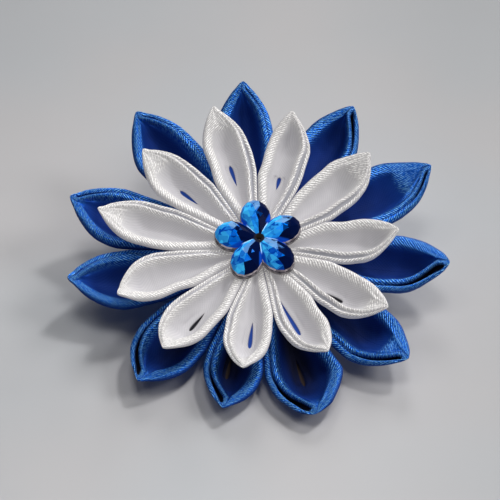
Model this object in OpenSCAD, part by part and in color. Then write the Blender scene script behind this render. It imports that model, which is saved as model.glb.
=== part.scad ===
// Kanzashi hairpin: a flower of folded satin ribbon, eleven blue petals under
// eleven white ones, with a five-lobed gem in the middle, on a flat hair clip.
// Millimetres. The origin is the middle of the clip's flat underside, the
// clip's mouth points to -Y, and the flower leans towards the mouth.

/* [Blue petals] */
// Radius from the flower's centre to the tips of the blue petals
blue_reach = 40; // [37:0.5:44]
// Radius at which the blue petals' roots begin
blue_root = 4.6; // [4.2:0.1:5.6]
// Widest half of a blue petal, from its keel to its outer rim
blue_half = 6.8; // [5.5:0.1:7.6]
// Height of a blue petal's tip over its keel
blue_height = 7.5; // [6.5:0.1:8.5]
// Width of the broad rim where a blue ribbon is folded once round
blue_rim = 2; // [1.6:0.1:2.4]
// Width of each of the two thin rims on a blue petal's other side
blue_edge = 1; // [0.8:0.05:1.2]
// Widest gap between the two thin rims of a blue petal
blue_pocket = 1.1; // [0.6:0.1:1.4]

/* [White petals] */
// Radius from the flower's centre to the tips of the white petals
white_reach = 31; // [29:0.5:34]
// Radius at which the white petals' roots begin
white_root = 3.6; // [3.2:0.1:4.4]
// Widest half of a white petal, from its keel to its outer rim
white_half = 5.2; // [4.4:0.1:5.8]
// Height of a white petal's tip over its keel
white_height = 6.8; // [6:0.1:7.6]
// Width of the broad rim where a white ribbon is folded once round
white_rim = 1.7; // [1.4:0.1:2]
// Width of each of the two thin rims on a white petal's other side
white_edge = 0.85; // [0.7:0.05:1]
// Widest gap between the two thin rims of a white petal
white_pocket = 0.5; // [0.3:0.05:0.8]

/* [Ribbon] */
// Thickness of the folded ribbon at a petal's keel
cloth = 1; // [0.8:0.05:1.3]
// Depth of the pocket between the two thin rims
pocket_depth = 1.8; // [1.2:0.1:2.2]
// Width of the slit where the ribbon's cut edges part in the keel
slit_w = 0.9; // [0.6:0.1:1.2]

/* [Gem] */
// Radius from the gem's centre to the ends of its lobes
gem_reach = 9.2; // [8.6:0.1:10]
// Half the width of a lobe
lobe_r = 3.1; // [2.9:0.1:3.4]
// Thickness of the gem at the edge of its lobes
girdle_h = 0.8; // [0.6:0.1:1.1]
// Height of a lobe's table over the underside of the gem
crown_h = 3; // [2.4:0.1:3.6]
// Thickness of the web between the lobes
web_h = 0.7; // [0.5:0.1:0.9]
// Height at which the lobes meet round the hole
hub_h = 1.6; // [1.3:0.1:1.9]
// Radius of the hole in the middle of the gem
gem_hole_r = 0.7; // [0.5:0.05:0.9]
// Thickness of the silvered backing under the gem
backing_h = 0.8; // [0.6:0.1:1]
// How far the backing shows past the gem's edge
backing_lip = 0.1; // [0:0.05:0.2]

/* [Clip] */
// Width of the clip's strip
clip_w = 10; // [8:0.5:12]
// Thickness of the clip's strip
clip_t = 1; // [0.8:0.1:1.2]
// Length of the clip's straight lower leaf
leaf_l = 36; // [32:1:42]
// Opening between the two leaves at the mouth
mouth_gap = 0.5; // [0.4:0.1:0.8]
// Angle of the upper leaf and of the flower over the lower leaf, in degrees
lean = 13; // [11:0.5:15]

/* [Clearances] */
// Gap between neighbouring petals of one ring
petal_gap = 0.2; // [0.15:0.05:0.4]
// Gap between the white keels and the blue rims under them
stack_gap = 0.3; // [0.25:0.05:0.5]
// Gap at the glued faces under the gem and under the flower
glue_gap = 0.12; // [0.1:0.02:0.2]
// Gap between the lowest keel and the surface that the clip lies on
table_gap = 0.15; // [0.1:0.05:0.3]

/* [Hidden] */
$fn = 64;

BLUE = "royalblue";
WHITE = "whitesmoke";
GEM = "dodgerblue";
SILVER = "silver";

// Petal tables, clockwise from the back. Columns: heading in degrees, then the
// reach and the tip's height as shares of the ring's, the widths of the two
// sides as shares of the half width, and the swing of the tip to the left as a
// share of it.
HEADING = 0;
REACH = 1;
HEIGHT = 2;
LEFT = 3;
RIGHT = 4;
SWING = 5;
BLUE_PETALS = [
    [95, 1, 1.05, 1, 0.82, 0],
    [58, 0.975, 1.05, 1.05, 0.83, 0.05],
    [27, 1.02, 1, 1, 1, 0],
    [-7, 0.98, 1, 1, 0.93, 0],
    [-41.5, 0.985, 0.95, 1, 1, 0],
    [-74.5, 0.98, 0.85, 1.3, 1, 0.05],
    [-101.5, 0.925, 0.85, 0.95, 0.83, 0.05],
    [-128, 0.97, 0.85, 0.85, 1.2, 0],
    [-166.5, 0.995, 1, 1.08, 0.92, -0.15],
    [166, 1.025, 1, 1.06, 1, -0.15],
    [129.5, 1.04, 1, 1.1, 0.97, 0]
];
WHITE_PETALS = [
    [107.5, 1.045, 1, 0.9, 0.95, 0],
    [75.5, 0.985, 1, 0.78, 1, 0.1],
    [38.5, 0.97, 1, 0.9, 1.05, 0.1],
    [0.5, 0.92, 1, 0.8, 1, 0.1],
    [-34.5, 0.99, 1, 0.85, 1.05, 0.1],
    [-64.5, 0.96, 1, 0.75, 1.05, 0.15],
    [-96, 0.975, 1, 0.92, 0.9, 0],
    [-126, 1.03, 1, 0.86, 1, 0],
    [-154.5, 1.015, 1, 0.8, 0.95, 0.1],
    [171, 1.085, 1, 1, 0.95, -0.1],
    [141, 1.02, 1, 1.02, 0.87, -0.05]
];
// Shares of the length, counted from the tip, over which a petal's own height
// and its tip's swing fade out
HEIGHT_FADE = 0.5;
SWING_FADE = 0.6;

// Sections of a petal from tip to root. Columns: distance from the tip as a
// share of the length, half width as a share, rim and keel heights as shares of
// the petal's height, then the depth of the hollow, the opening of the pocket
// and the opening of the slit, each as a share of its full size.
FROM_TIP = 0;
HALF = 1;
RIM = 2;
KEEL = 3;
DEPTH = 4;
POCKET = 5;
SLIT = 6;
SECTIONS = [
    [0, 0.06, 1, 0.86, 0.1, 0.4, 0],
    [0.03, 0.22, 0.96, 0.74, 0.25, 0.8, 0],
    [0.07, 0.45, 0.9, 0.56, 0.55, 1, 0],
    [0.12, 0.66, 0.82, 0.37, 0.8, 1, 0],
    [0.17, 0.82, 0.75, 0.2, 0.92, 0.9, 0],
    [0.23, 0.94, 0.69, 0.06, 1, 0.75, 0],
    [0.3, 1, 0.64, 0, 1, 0.6, 0],
    [0.37, 1, 0.61, 0, 1, 0.5, 1],
    [0.44, 0.98, 0.59, 0, 1, 0.4, 0.7],
    [0.52, 0.93, 0.57, 0, 1, 0.35, 0],
    [0.6, 0.86, 0.55, 0, 1, 0.3, 0],
    [0.68, 0.76, 0.52, 0, 0.95, 0.3, 0],
    [0.76, 0.65, 0.49, 0, 0.85, 0.25, 0],
    [0.84, 0.53, 0.45, 0, 0.7, 0.25, 0],
    [0.92, 0.41, 0.4, 0, 0.5, 0.2, 0],
    [1, 0.3, 0.35, 0, 0.35, 0.2, 0]
];
RIM_LINE = [for (s = SECTIONS) [s[FROM_TIP], s[RIM]]];
// Share of the length at which the keel is down flat, counted from the tip
KEEL_FLAT = 0.3;
// Share of a petal's side that its rims may take where it is narrow
RIM_SHARE = 0.68;
// A wall's bulge: its middle stands at this share of the width and height
BULGE_OUT = 0.66;
BULGE_UP = 0.45;

// Ring values. Columns: reach, root radius, half width, height, broad rim,
// thin rim, pocket, and the rows of the petal table.
RING_REACH = 0;
RING_ROOT = 1;
RING_HALF = 2;
RING_HEIGHT = 3;
RING_RIM = 4;
RING_EDGE = 5;
RING_POCKET = 6;
RING_ROWS = 7;
BLUE_RING = [
    blue_reach, blue_root, blue_half, blue_height,
    blue_rim, blue_edge, blue_pocket, BLUE_PETALS
];
WHITE_RING = [
    white_reach, white_root, white_half, white_height,
    white_rim, white_edge, white_pocket, WHITE_PETALS
];

function tip_radius(ring, p) = ring[RING_REACH] * p[REACH];
function length_of(ring, p) = tip_radius(ring, p) - ring[RING_ROOT];
function radius_at(ring, p, s) = tip_radius(ring, p) - s[FROM_TIP] * length_of(ring, p);
function height_at(ring, p, s) =
    ring[RING_HEIGHT] * (1 + (p[HEIGHT] - 1) * max(0, 1 - s[FROM_TIP] / HEIGHT_FADE));

// Height of the blue rims over the flower's base at a radius
function blue_rim_z(r) =
    blue_height * lookup((blue_reach - r) / (blue_reach - blue_root), RIM_LINE);
white_keel_end = white_reach - KEEL_FLAT * (white_reach - white_root);
function white_seat_z(r) = blue_rim_z(min(r, white_keel_end)) + stack_gap;
function seat_z(ring, r) = ring == WHITE_RING ? white_seat_z(r) : 0;

// Half the angle between a petal and its neighbour on the left or the right
function turn(a) = a - 360 * floor(a / 360);
function left_half_angle(rows, i) =
    turn(rows[(i + len(rows) - 1) % len(rows)][HEADING] - rows[i][HEADING]) / 2;
function right_half_angle(rows, i) =
    turn(rows[i][HEADING] - rows[(i + 1) % len(rows)][HEADING]) / 2;
// Room beside a petal's axis at a radius, up to the plane halfway to its neighbour
function room(r, half_angle) = r * tan(half_angle) - petal_gap / 2 / cos(half_angle);

// Left side of a section, from the keel up, over the broad rim and down inside
function left_side(w, keel, rim, floor_z, rim_w, slit) = [
    [slit, keel],
    [BULGE_OUT * w, keel + BULGE_UP * (rim - keel)],
    [w, rim - 0.35 * rim_w],
    [w - 0.3 * rim_w, rim],
    [w - 0.75 * rim_w, rim],
    [BULGE_OUT * (w - rim_w), floor_z + BULGE_UP * (rim - floor_z)],
    [slit, floor_z]
];

// Right side of a section, from the hollow's floor up and over the two thin
// rims with the pocket between them, and down outside to the keel
function right_side(w, keel, rim, floor_z, edge_w, pocket_w, slit) =
    let(
        inner = w - 2 * edge_w - pocket_w,
        wall_z = keel + BULGE_UP * (rim - keel),
        deep = min(pocket_depth, 0.75 * (rim - wall_z)),
        tuck = (1 - BULGE_OUT) * w * deep / (rim - wall_z)
    ) [
        [-slit, floor_z],
        [-BULGE_OUT * inner, floor_z + BULGE_UP * (rim - floor_z)],
        [-inner - 0.25 * edge_w, rim],
        [-inner - 0.8 * edge_w, rim],
        [-(w - edge_w - pocket_w / 2 - 0.9 * tuck), rim - deep],
        [-(w - 0.8 * edge_w), rim],
        [-w, rim - 0.3 * edge_w],
        [-BULGE_OUT * w, wall_z],
        [-slit, keel]
    ];

// The points of one section, across the petal and up
function section(ring, i, s) =
    let(
        rows = ring[RING_ROWS],
        p = rows[i],
        r = radius_at(ring, p, s),
        half = ring[RING_HALF] * s[HALF],
        left = min(half * p[LEFT], room(r, left_half_angle(rows, i))),
        right = min(half * p[RIGHT], room(r, right_half_angle(rows, i))),
        base = seat_z(ring, r),
        height = height_at(ring, p, s),
        keel = base + height * s[KEEL],
        rim = base + height * s[RIM],
        floor_z = rim - s[DEPTH] * (rim - keel - cloth),
        rim_w = min(ring[RING_RIM], RIM_SHARE * left),
        thin = ring[RING_EDGE] * 2 + ring[RING_POCKET] * s[POCKET],
        fit = min(1, RIM_SHARE * right / thin),
        slit = slit_w / 2 * s[SLIT]
    ) concat(
        left_side(left, keel, rim, floor_z, rim_w, slit),
        right_side(
            right, keel, rim, floor_z,
            ring[RING_EDGE] * fit, ring[RING_POCKET] * s[POCKET] * fit, slit
        )
    );

// Sideways swing of the petal's axis towards its tip
function swing_at(ring, p, s) =
    p[SWING] * ring[RING_HALF] * pow(max(0, 1 - s[FROM_TIP] / SWING_FADE), 2);

LEFT_COUNT = 7;
RING_COUNT = 16;
// A section's corners by number; without a slit its two halves share the keel
// and the hollow's floor
function corner(k, j) =
    SECTIONS[k][SLIT] > 0 ? k * RING_COUNT + j :
    j == LEFT_COUNT ? k * RING_COUNT + LEFT_COUNT - 1 :
    j == RING_COUNT - 1 ? k * RING_COUNT :
    k * RING_COUNT + j;
function open_slit(k) = SECTIONS[k][SLIT] > 0 || SECTIONS[k + 1][SLIT] > 0;
function strip(k, a, b) = [
    [corner(k, a), corner(k, b), corner(k + 1, b)],
    [corner(k, a), corner(k + 1, b), corner(k + 1, a)]
];
SIDES = [
    for (j = [0:LEFT_COUNT - 2]) [j, j + 1],
    for (j = [LEFT_COUNT:RING_COUNT - 2]) [j, j + 1]
];
SLIT_SIDES = [[LEFT_COUNT - 1, 0], [RING_COUNT - 1, LEFT_COUNT]];
CAP = concat([for (j = [0:LEFT_COUNT - 1]) j], [for (j = [LEFT_COUNT + 1:RING_COUNT - 2]) j]);
LAST = len(SECTIONS) - 1;
PETAL_FACES = concat(
    [[for (j = CAP) j]],
    [for (k = [0:LAST - 1]) for (e = SIDES) each strip(k, e[1], e[0])],
    [for (k = [0:LAST - 1]) if (open_slit(k)) for (e = SLIT_SIDES) each strip(k, e[1], e[0])],
    [[for (j = [len(CAP) - 1:-1:0]) LAST * RING_COUNT + CAP[j]]]
);

// One folded petal, in the flower's frame
module petal(ring, i) {
    p = ring[RING_ROWS][i];
    points = [
        for (s = SECTIONS)
            for (q = section(ring, i, s))
                [radius_at(ring, p, s), q[0] + swing_at(ring, p, s), q[1]]
    ];
    rotate([0, 0, p[HEADING]]) polyhedron(points, PETAL_FACES, convexity = 6);
}

// How far the lowest keel reaches under the flower's centre
front_drop = max([
    for (p = BLUE_PETALS)
        for (s = SECTIONS)
            -radius_at(BLUE_RING, p, s) * sin(p[HEADING]) * sin(lean)
                - height_at(BLUE_RING, p, s) * s[KEEL] * cos(lean)
]);
// The flower's centre stands where its front keels just clear the table
flower_z = front_drop + table_gap;
// Where the insides of the two leaves would meet, in front of the mouth
leaf_meet_y = -leaf_l / 2 - mouth_gap / tan(lean);
flower_y = leaf_meet_y + (flower_z - clip_t - (clip_t + glue_gap) / cos(lean)) / tan(lean);

module on_clip() {
    translate([0, flower_y, flower_z]) rotate([lean, 0, 0]) children();
}

module blue_petal(i) {
    color(BLUE) on_clip() petal(BLUE_RING, i);
}

module white_petal(i) {
    color(WHITE) on_clip() petal(WHITE_RING, i);
}

// The gem lies on the highest white rims under its lobes
gem_z = glue_gap + max([
    for (p = WHITE_PETALS)
        let(share = (tip_radius(WHITE_RING, p) - gem_reach) / length_of(WHITE_RING, p))
            white_seat_z(gem_reach) + white_height * lookup(share, RIM_LINE)
]);
gem_heading = 98;
lobe_count = 5;
// A lobe is an ellipse this much longer than it is wide
lobe_stretch = 1.25;
lobe_c = gem_reach - lobe_stretch * lobe_r;
// How far a cut runs past the faces that it opens
overcut = 1;
// Radius out to which the web fills the notches between the lobes
web_r = gem_reach * 0.53;

// A low prism of a lobe's outline at a share of its size, as high as h
module lobe_layer(share, h, sides, turned = 0) {
    translate([lobe_c, 0, 0]) scale([lobe_stretch, 1, 1]) rotate(turned)
        cylinder(r = lobe_r * share, h = h, $fn = sides);
}

// One faceted lobe: a girdle, two rings of break facets and a low point on top
module lobe() {
    hull() {
        lobe_layer(1, girdle_h, 14);
        lobe_layer(0.84, crown_h * 0.62, 7, 180 / 7);
        lobe_layer(0.5, crown_h * 0.92, 6, 12);
        lobe_layer(0.08, crown_h, 4);
        translate([1.8 * gem_hole_r, 0, 0]) cylinder(r = 1.2 * gem_hole_r, h = hub_h, $fn = 8);
    }
}

module gem_flower() {
    color(GEM) on_clip() translate([0, 0, gem_z + backing_h + glue_gap]) difference() {
        union() {
            cylinder(r = web_r, h = web_h);
            for (k = [0:lobe_count - 1])
                rotate(gem_heading - k * 360 / lobe_count) lobe();
        }
        translate([0, 0, -overcut]) cylinder(r = gem_hole_r, h = crown_h + 2 * overcut);
    }
}

module gem_backing() {
    color(SILVER) on_clip() translate([0, 0, gem_z]) union() {
        cylinder(r = web_r, h = backing_h);
        for (k = [0:lobe_count - 1])
            rotate(gem_heading - k * 360 / lobe_count)
                translate([lobe_c, 0, 0]) scale([lobe_stretch, 1, 1])
                    cylinder(r = lobe_r + backing_lip, h = backing_h);
    }
}

// One leaf of the clip, with its round end towards -Y and its length from there
module leaf(length) {
    union() {
        translate([0, clip_w / 2, 0]) cylinder(d = clip_w, h = clip_t);
        translate([-clip_w / 2, clip_w / 2, 0]) cube([clip_w, length - clip_w / 2, clip_t]);
    }
}

leaf_span = leaf_l / 2 - leaf_meet_y;
bend_r = leaf_span * tan(lean / 2);

// One strip, folded back over itself round a bend behind the flower
module hair_clip() {
    color(SILVER) union() {
        translate([0, -leaf_l / 2, 0]) leaf(leaf_l);
        translate([0, leaf_meet_y, clip_t]) rotate([lean, 0, 0])
            translate([0, leaf_span - leaf_l, 0]) leaf(leaf_l);
        translate([-clip_w / 2, leaf_l / 2, clip_t + bend_r]) rotate([90, 0, 90]) rotate(-90)
            rotate_extrude(angle = 180 + lean) translate([bend_r, 0]) square([clip_t, clip_w]);
    }
}

hair_clip();
for (i = [0:len(BLUE_PETALS) - 1])
    blue_petal(i);
for (i = [0:len(WHITE_PETALS) - 1])
    white_petal(i);
gem_backing();
gem_flower();
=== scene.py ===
# Looks of the kanzashi hairpin: folded satin petals, a faceted gem, a plain clip and a soft studio.
# Shapes are worked out in millimetres in the flower's own frame and placed on the leaning clip.
import math

import bpy
import numpy as np
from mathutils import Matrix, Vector


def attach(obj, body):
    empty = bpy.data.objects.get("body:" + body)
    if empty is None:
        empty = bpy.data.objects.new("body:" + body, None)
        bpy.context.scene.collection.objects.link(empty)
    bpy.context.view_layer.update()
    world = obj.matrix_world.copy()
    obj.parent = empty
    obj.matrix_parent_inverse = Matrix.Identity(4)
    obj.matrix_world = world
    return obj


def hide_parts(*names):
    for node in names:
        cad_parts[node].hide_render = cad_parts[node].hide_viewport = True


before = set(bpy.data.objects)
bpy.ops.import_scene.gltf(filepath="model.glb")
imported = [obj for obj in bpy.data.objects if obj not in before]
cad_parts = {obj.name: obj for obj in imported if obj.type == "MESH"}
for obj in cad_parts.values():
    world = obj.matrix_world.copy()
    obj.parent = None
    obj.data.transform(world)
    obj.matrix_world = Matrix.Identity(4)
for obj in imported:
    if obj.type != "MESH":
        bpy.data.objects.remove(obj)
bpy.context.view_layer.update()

MM = 0.001

# Sections of a petal from tip to root. Columns: distance from the tip as a share of the length,
# half width as a share, rim and keel heights as shares of the petal's height, then depth of the
# hollow, opening of a blue and of a white pocket and width of the broad rim as shares of their own
FROM_TIP, HALF, RIM, KEEL, DEPTH, BLUE_OPENING, WHITE_OPENING, ROLL = range(8)
SECTIONS = np.array([
    [0, 0.05, 1, 0.86, 1, 1, 0, 1.3],
    [0.03, 0.22, 0.96, 0.74, 1, 1, 0, 1.3],
    [0.07, 0.45, 0.9, 0.56, 1, 1, 0.05, 1.3],
    [0.12, 0.66, 0.82, 0.37, 1, 0.8, 0.1, 1.25],
    [0.17, 0.82, 0.75, 0.2, 1, 0.55, 0.2, 1.2],
    [0.23, 0.94, 0.69, 0.06, 1, 0.33, 0.35, 1.1],
    [0.3, 1, 0.64, 0, 1, 0.2, 0.5, 1],
    [0.37, 1, 0.61, 0, 1, 0.14, 0.65, 1],
    [0.44, 0.98, 0.59, 0, 1, 0.11, 0.75, 1],
    [0.52, 0.93, 0.57, 0, 1, 0.1, 0.75, 1],
    [0.6, 0.86, 0.55, 0, 1, 0.1, 0.7, 1],
    [0.68, 0.76, 0.52, 0, 0.95, 0.1, 0.6, 1],
    [0.76, 0.65, 0.49, 0, 0.85, 0.1, 0.5, 1],
    [0.84, 0.53, 0.45, 0, 0.7, 0.1, 0.4, 1],
    [0.92, 0.41, 0.4, 0, 0.5, 0.1, 0.3, 1],
    [1, 0.3, 0.35, 0, 0.35, 0.1, 0.3, 1],
])

# Columns of a petal's row: heading in degrees, reach and tip height as shares of the ring's, widths
# of the left and right sides as shares of the half width, swing of the tip to the left as a share
# of it, then in millimetres the distance from the tip to the end of the hollow, the opening of the
# pocket, the slit's distance from the tip, its length and its place left of the keel, and the
# length over which the tip is rounded. Petals run clockwise from the back.
(
    HEADING, REACH, HEIGHT, LEFT, RIGHT, SWING,
    HOLLOW_AT, POCKET, SLIT_AT, SLIT_LENGTH, SLIT_SIDE, TIP_ROUND,
) = range(12)

BLUE = {
    "name": "blue",
    # Distances of the tips and the roots from the axis, half width and height of a petal
    "reach": 40,
    "root": 4.6,
    "half": 6.8,
    "height": 7.5,
    # Widths of the broad rim and of one thin rim, depth and opening of the pocket between thin rims
    "rim": 2,
    "edge": 1.25,
    "pocket_depth": 2.4,
    "opening": BLUE_OPENING,
    # How far the outer thin rim lies below the inner one, along the petal and near the tip
    "drop": 0.2,
    "tip_drop": 0.1,
    # Width of a slit, and the numbers of the petals whose slits have the blue ribbon below painted
    # in with a painted glow
    "slit": 1.5,
    "lit_slits": (),
    # Strength of the ribs, and so of their painted glints, on the flat part near the tip
    "tip_ribs": 0.5,
    # How much darker the hollow's painted shade gets at the front of the flower and under the upper
    # ring
    "front_painted_shade": 0.4,
    "root_painted_shade": 0.25,
    # Shares of the length between which neighbours come to be pressed together
    "pressed": (0.62, 1),
    # Side of the square of ribbon, and the area left of it, folded and trimmed
    "square": 50,
    "cut_area": 500,
    "petals": [
        [95, 1, 1.05, 1, 0.82, 0, 3.5, 0.1, 14, 0, 0, 0.6],
        [58, 0.975, 1.05, 1.05, 0.83, 0.05, 2.5, 0.7, 14, 0, 0, 0.9],
        [27, 1.02, 1, 1, 1, 0, 9.5, 0.45, 14, 0, 0, 0.7],
        [-7, 0.98, 1, 1, 0.93, 0, 4, 1.6, 14, 0, 0, 1.5],
        [-41.5, 0.985, 0.95, 1, 1, 0, 7.5, 0.9, 14, 0, 0, 1.1],
        [-74.5, 0.98, 0.85, 1.3, 1, 0.05, 4, 1.5, 8.5, 6, 0.8, 2.2],
        [-101.5, 0.925, 0.85, 0.95, 0.83, 0.05, 3.5, 1.1, 8.5, 5, -1, 0.9],
        [-128, 0.97, 0.85, 0.85, 1.2, 0, 4.5, 1.3, 14, 0, 0, 0.7],
        [-166.5, 0.995, 1, 1.08, 0.92, -0.15, 3.5, 0.1, 14, 0, 0, 0.5],
        [166, 1.025, 1, 1.06, 1, -0.15, 4, 0.2, 14, 0, 0, 0.6],
        [129.5, 1.04, 1, 1.1, 0.97, 0, 3, 0.1, 14, 0, 0, 0.6],
    ],
}
WHITE = {
    "name": "white",
    "reach": 31,
    "root": 3.6,
    "half": 5.2,
    "height": 6.8,
    "rim": 1.7,
    "edge": 0.75,
    "pocket_depth": 0.9,
    "opening": WHITE_OPENING,
    "drop": 0.3,
    "tip_drop": 0.5,
    "slit": 1.5,
    "lit_slits": (1, 2, 6, 7, 11),
    "tip_ribs": 0.6,
    "front_painted_shade": 0,
    "root_painted_shade": 0,
    "pressed": (0.4, 0.75),
    "square": 40,
    "cut_area": 320,
    "petals": [
        [107.5, 1.045, 1, 0.9, 0.95, 0, 6, 0.9, 11.8, 5, 0, 0.7],
        [75.5, 0.985, 1, 0.78, 1, 0.1, 2.5, 1, 13, 3, 0, 0.6],
        [38.5, 0.97, 1, 0.93, 1.05, 0.1, 6.5, 1, 13, 0, 0, 0.6],
        [0.5, 0.92, 1, 0.87, 1, 0.1, 1.5, 1, 12, 0, 0, 0.6],
        [-34.5, 0.99, 1, 0.88, 0.96, 0.1, 5.5, 0.8, 9.5, 4, -1, 0.6],
        [-64.5, 0.96, 1, 0.78, 0.97, 0.15, 3, 0.6, 8, 9, -1.4, 0.6],
        [-96, 0.975, 1, 0.92, 0.9, 0, 3, 0.6, 7, 6, 0.5, 0.8],
        [-126, 1.03, 1, 0.82, 1.1, 0, 4, 0.6, 8.2, 5, 0, 0.8],
        [-156.5, 1.015, 1, 0.78, 1.18, 0.3, 3.5, 0.6, 13, 0, 0, 0.6],
        [171, 1.085, 1, 1, 0.95, -0.1, 6.5, 0.9, 14, 0, 0, 0.6],
        [141, 1.02, 1, 0.97, 0.97, -0.05, 6.5, 0.9, 10.2, 5, 0, 0.6],
    ],
}

# Gaps between neighbours, between the rings, under the flower and between its front and the table
PETAL_GAP = 0.08
STACK_GAP = 0.3
GLUE_GAP = 0.12
TABLE_GAP = 0.15
# The clip's lean, length and thickness of a leaf, and opening of its mouth
LEAN = math.radians(13)
LEAF_L = 36
CLIP_T = 1
MOUTH_GAP = 0.5

# Shares of the length where the keel is down flat, and over which a petal's own height and the
# swing of its tip fade out
KEEL_FLAT = 0.3
HEIGHT_FADE = 0.5
SWING_FADE = 0.6
# Waves of the petals' sides. Columns: size as a share of the width, turns along the petal, and
# turns from one petal to the next. The heights of the rims take on a share of these waves.
WAVES = ((0.02, 1.6, 0.37), (0.012, 4.3, 0.61))
RIM_WAVE = 0.5
# Share of a side that its rims may take, and share of both sides that the thin rims may take near
# the tip, where they may cross to the left of the axis. That share fades between two distances from
# the tip. The softness says how gently the broad rim and the thin rims give way to these shares.
RIM_SHARE = 0.68
TIP_SHARE = 0.6
TIP_SPAN = (2, 7)
RIM_SOFTNESS = 0.1
FIT_SOFTNESS = 0.05
# Towards the root the petals are pressed together, so each fills the room that it has
ROOT_SHARE = 1.12
# How gently a side gives way to its neighbour at the tip, and how much more gently further on
TIP_SOFTNESS = 0.02
ROOM_SOFTNESS = 0.25

# Height of the rounded tip's middle below the rim, as a share of the side's height
NOSE_UP = 0.3
# Tips that are rounded over more than this are wider too: by which share, and how far from the tip
POINTED = 0.7
BLUNT = 0.9
BLUNT_FADE = 2.8

# Where the hollow begins to deepen and over which length it does, as shares of a row's distance,
# and the least length. Hollows that end far from the tip have a lip, which comes in between two of
# these distances and lets them begin earlier.
HOLLOW_START = 0.3
HOLLOW_LENGTH = 1.4
LEAST_HOLLOW = 4.5
LIP_FROM = (4, 6)
LIP_START = 0.1
# Depth of the flat part near the tip as a share of the hollow's, and how much deeper it lies behind
# a lip. The lip rises by so many times that depth. Its place and width are on the hollow's slope
# from 0 to 1.
FLAT_DEPTH = 0.07
LIP_DEPTH = 0.05
LIP_RISE = 1.6
LIP_AT = 0.25
LIP_WIDTH = 0.16
# Thickness of the cloth under a hollow, and the least room for a hollow
CLOTH = 0.6
LEAST_BOWL = 0.02

# A slit's depth as a share of the cloth, the half width from which it is full deep, its shape, and
# the fine crease along every keel
SLIT_CUT = 0.7
SLIT_FULL = 0.15
SLIT_BLUNT = 0.5
SLIT_ROUND = 0.8
GROOVE = 0.01
# Where the slit's line leaves the keel, in distances from the tip, and where it comes back to it,
# in shares of the length
ASIDE_FROM = (3, 7)
ASIDE_TO = (0.6, 0.9)

# Where the pocket ends short of the tip, over which length it is rounded there, the opening from
# which it is full deep, and the depth of the crease that is left where it is closed
POCKET_END = 1.1
POCKET_NOSE = 0.8
POCKET_FULL = 0.6
CREASE = 0.06
# Shares of a side's height that the pocket and the outer thin rim's drop may take
DEEPEST_POCKET = 0.7
LARGEST_DROP = 0.3

# The ribs near the tip fade over this part of the hollow's slope, and the upper ring's painted
# shade on the lower one comes in over this part of the length. Ribs across a closed pocket are
# this strong.
TIP_RIBS_FADE = (0.05, 0.6)
UNDER_WHITE = (0.12, 0.42)
CLOSED_RIBS = 0.8

# Stations along a petal, closer together towards the tip, and points between a section's corners
STATIONS = 112
TIP_DENSITY = 1.3
FIRST_STATION = 0.0006
RING_STEPS = 3
LEAST_STEP = 1e-6
SHARP_ANGLE = math.radians(60)


# Curves

def smooth_lookup(x, column):
    """A column of the section table at shares x of the length, without kinks or overshoot."""
    xs, ys = SECTIONS[:, FROM_TIP], SECTIONS[:, column]
    step = np.diff(xs)
    slope = np.diff(ys) / step
    tangent = np.zeros(len(xs))
    same = slope[:-1] * slope[1:] > 0
    mean = 2 * slope[:-1] * slope[1:] / np.where(same, slope[:-1] + slope[1:], 1)
    tangent[1:-1] = np.where(same, mean, 0)
    tangent[0], tangent[-1] = slope[0], slope[-1]
    k = np.clip(np.searchsorted(xs, x, side="right") - 1, 0, len(xs) - 2)
    t = (x - xs[k]) / step[k]
    return (
        ys[k] * (1 + 2 * t) * (1 - t) ** 2
        + step[k] * tangent[k] * t * (1 - t) ** 2
        + ys[k + 1] * t ** 2 * (3 - 2 * t)
        - step[k] * tangent[k + 1] * t ** 2 * (1 - t)
    )


def soft_min(a, b, softness):
    return (a + b - np.sqrt((a - b) ** 2 + softness ** 2)) / 2


def smooth_step(x, low, high):
    t = np.clip((x - low) / (high - low), 0, 1)
    return t * t * (3 - 2 * t)


def round_start(x, length):
    """0 at x = 0 and 1 from length on, along a quarter of a circle."""
    return np.sqrt(1 - (1 - np.clip(x / length, 0, 1)) ** 2)


def line_at(t, start, start_t, end, end_t):
    """The straight line from start to end at time t."""
    return (end_t - t) / (end_t - start_t) * start + (t - start_t) / (end_t - start_t) * end


def open_curve(points):
    """A centripetal Catmull-Rom curve through (station, point, 2) points, level at both ends."""
    first, last = points[:, :1], points[:, -1:]
    before = first + (first - points[:, 1:2]) * np.array([1, -1])
    after = last + (last - points[:, -2:-1]) * np.array([1, -1])
    p = np.concatenate([before, points, after], axis=1)
    gap = np.maximum(np.linalg.norm(np.diff(p, axis=1), axis=2), LEAST_STEP) ** 0.5
    knot = np.concatenate([np.zeros_like(gap[:, :1]), np.cumsum(gap, axis=1)], axis=1)[..., None]
    curve = []
    for k in range(1, p.shape[1] - 2):
        p0, p1, p2, p3 = (p[:, k + d] for d in (-1, 0, 1, 2))
        t0, t1, t2, t3 = (knot[:, k + d] for d in (-1, 0, 1, 2))
        for step in range(RING_STEPS):
            t = t1 + (t2 - t1) * step / RING_STEPS
            a1 = line_at(t, p0, t0, p1, t1)
            a2 = line_at(t, p1, t1, p2, t2)
            a3 = line_at(t, p2, t2, p3, t3)
            b1 = line_at(t, a1, t0, a2, t2)
            b2 = line_at(t, a2, t1, a3, t3)
            curve.append(line_at(t, b1, t1, b2, t2))
    curve.append(points[:, -1])
    return np.stack(curve, axis=1)


def refine(values):
    """Values at the sections' corners, shaped (station, corner), for all points of the curves."""
    corners = range(values.shape[1])
    fine = np.linspace(0, len(corners) - 1, (len(corners) - 1) * RING_STEPS + 1)
    return np.stack([np.interp(fine, corners, row) for row in values])


def distances(places, axis):
    """Distances along a line of places from its start."""
    steps = np.linalg.norm(np.diff(places, axis=axis), axis=-1)
    start = np.zeros_like(steps.take([0], axis=axis))
    return np.concatenate([start, np.cumsum(steps, axis=axis)], axis=axis)


# Petals

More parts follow.
